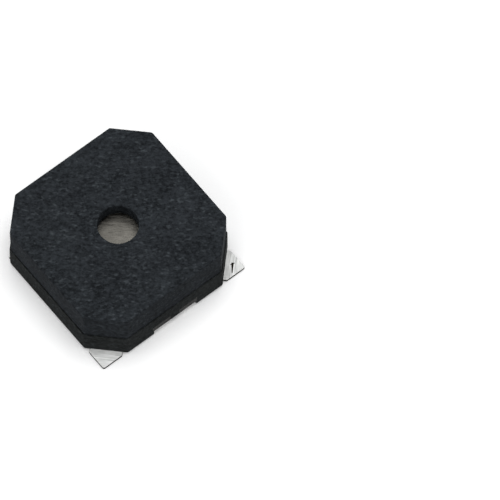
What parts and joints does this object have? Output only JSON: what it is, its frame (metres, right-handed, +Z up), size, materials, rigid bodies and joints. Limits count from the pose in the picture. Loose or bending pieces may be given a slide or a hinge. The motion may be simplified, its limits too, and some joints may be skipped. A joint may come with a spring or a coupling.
{
  "type": "magnetic buzzer",
  "caption": "Low square surface-mount magnetic buzzer with cut corners, a round sound hole over its armature disc, and flat tinned terminals under the corners.",
  "frame": {"origin": "on the seating plane of the terminals, below the middle of the square case", "axes": "+Z up through the sound hole; X and Y square to the case's sides; the yoke's cut stubs show under the two sides that face +Y and -Y; the short marker foot is in the corner at -X, +Y"},
  "size_m": [0.0086, 0.0086, 0.0033],
  "materials": {
    "black_lcp": "fine matt moulded surface, filled polymer",
    "tinned_brass": "tin plate with fine stamping scratches",
    "plated_steel": "nickel-plated sheet iron, sheared edges",
    "soft_iron": "turned and annealed, dull",
    "bonded_magnet": "bonded neodymium, grey, faintly granular",
    "clear_glue": "cured amber epoxy",
    "enamelled_copper": "enamelled copper wire, wound and bonded",
    "solder": "satin solder",
    "spring_steel": "rolled spring-steel foil",
    "pressed_iron": "blanked iron disc, dull grey, faintly mottled"
  },
  "bodies": {
    "root": {"base": "black_lcp", "cover": "black_lcp", "terminal_1": "tinned_brass", "terminal_2": "tinned_brass", "terminal_3": "tinned_brass", "marker_foot": "tinned_brass", "yoke_plate": "plated_steel", "pole": "soft_iron", "ring_magnet": "bonded_magnet", "magnet_glue": "clear_glue", "coil": "enamelled_copper", "coil_glue": "clear_glue", "lead_wire_1": "enamelled_copper", "lead_wire_2": "enamelled_copper", "solder_joint_1": "solder", "solder_joint_2": "solder", "diaphragm": "spring_steel", "armature": "pressed_iron"}
  },
  "joints": []
}
